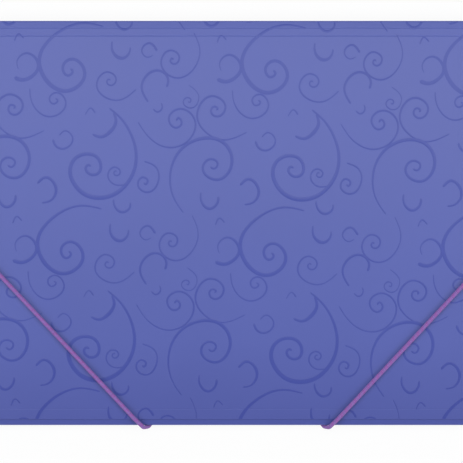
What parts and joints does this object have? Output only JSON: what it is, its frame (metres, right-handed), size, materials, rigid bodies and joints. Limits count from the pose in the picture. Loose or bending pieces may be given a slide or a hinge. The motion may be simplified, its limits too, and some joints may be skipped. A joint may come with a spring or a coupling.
{
  "type": "elastic folder",
  "caption": "Flat folder of creased plastic sheet with inner flaps, a spine and a front cover that open, raised curls, and elastics over its fore corners.",
  "frame": {"origin": "middle of the floor area of the closed folder, at the height of the elastics' back runs that it lies on", "axes": "+X along the spine, +Y from the fore edge to the spine, +Z out of the front cover"},
  "size_m": [0.3256, 0.2378, 0.0116],
  "materials": {
    "sheet": "satin translucent polypropylene, violet-blue",
    "elastic": "round braided cord, magenta-violet",
    "barb": "plated steel"
  },
  "bodies": {
    "back": {"back_cover": "sheet", "left_elastic": "elastic", "right_elastic": "elastic", "left_fore_barb": "barb", "left_side_barb": "barb", "right_fore_barb": "barb", "right_side_barb": "barb"},
    "spine": {"spine_panel": "sheet"},
    "front": {"front_cover": "sheet"}
  },
  "joints": [
    {"name": "spine_fold", "type": "hinge", "parent": "back", "child": "spine", "pos_m": [0, 0.11891, 0.00281], "axis": [-1, 0, 0], "range_deg": [0, 90], "deforming": ["left_elastic", "right_elastic"]},
    {"name": "cover_fold", "type": "hinge", "parent": "spine", "child": "front", "pos_m": [0, 0.11891, 0.00798], "axis": [-1, 0, 0], "range_deg": [0, 90]}
  ],
  "couplings": [
    {"joint": "cover_fold", "follows": "spine_fold", "ratio": 1}
  ]
}
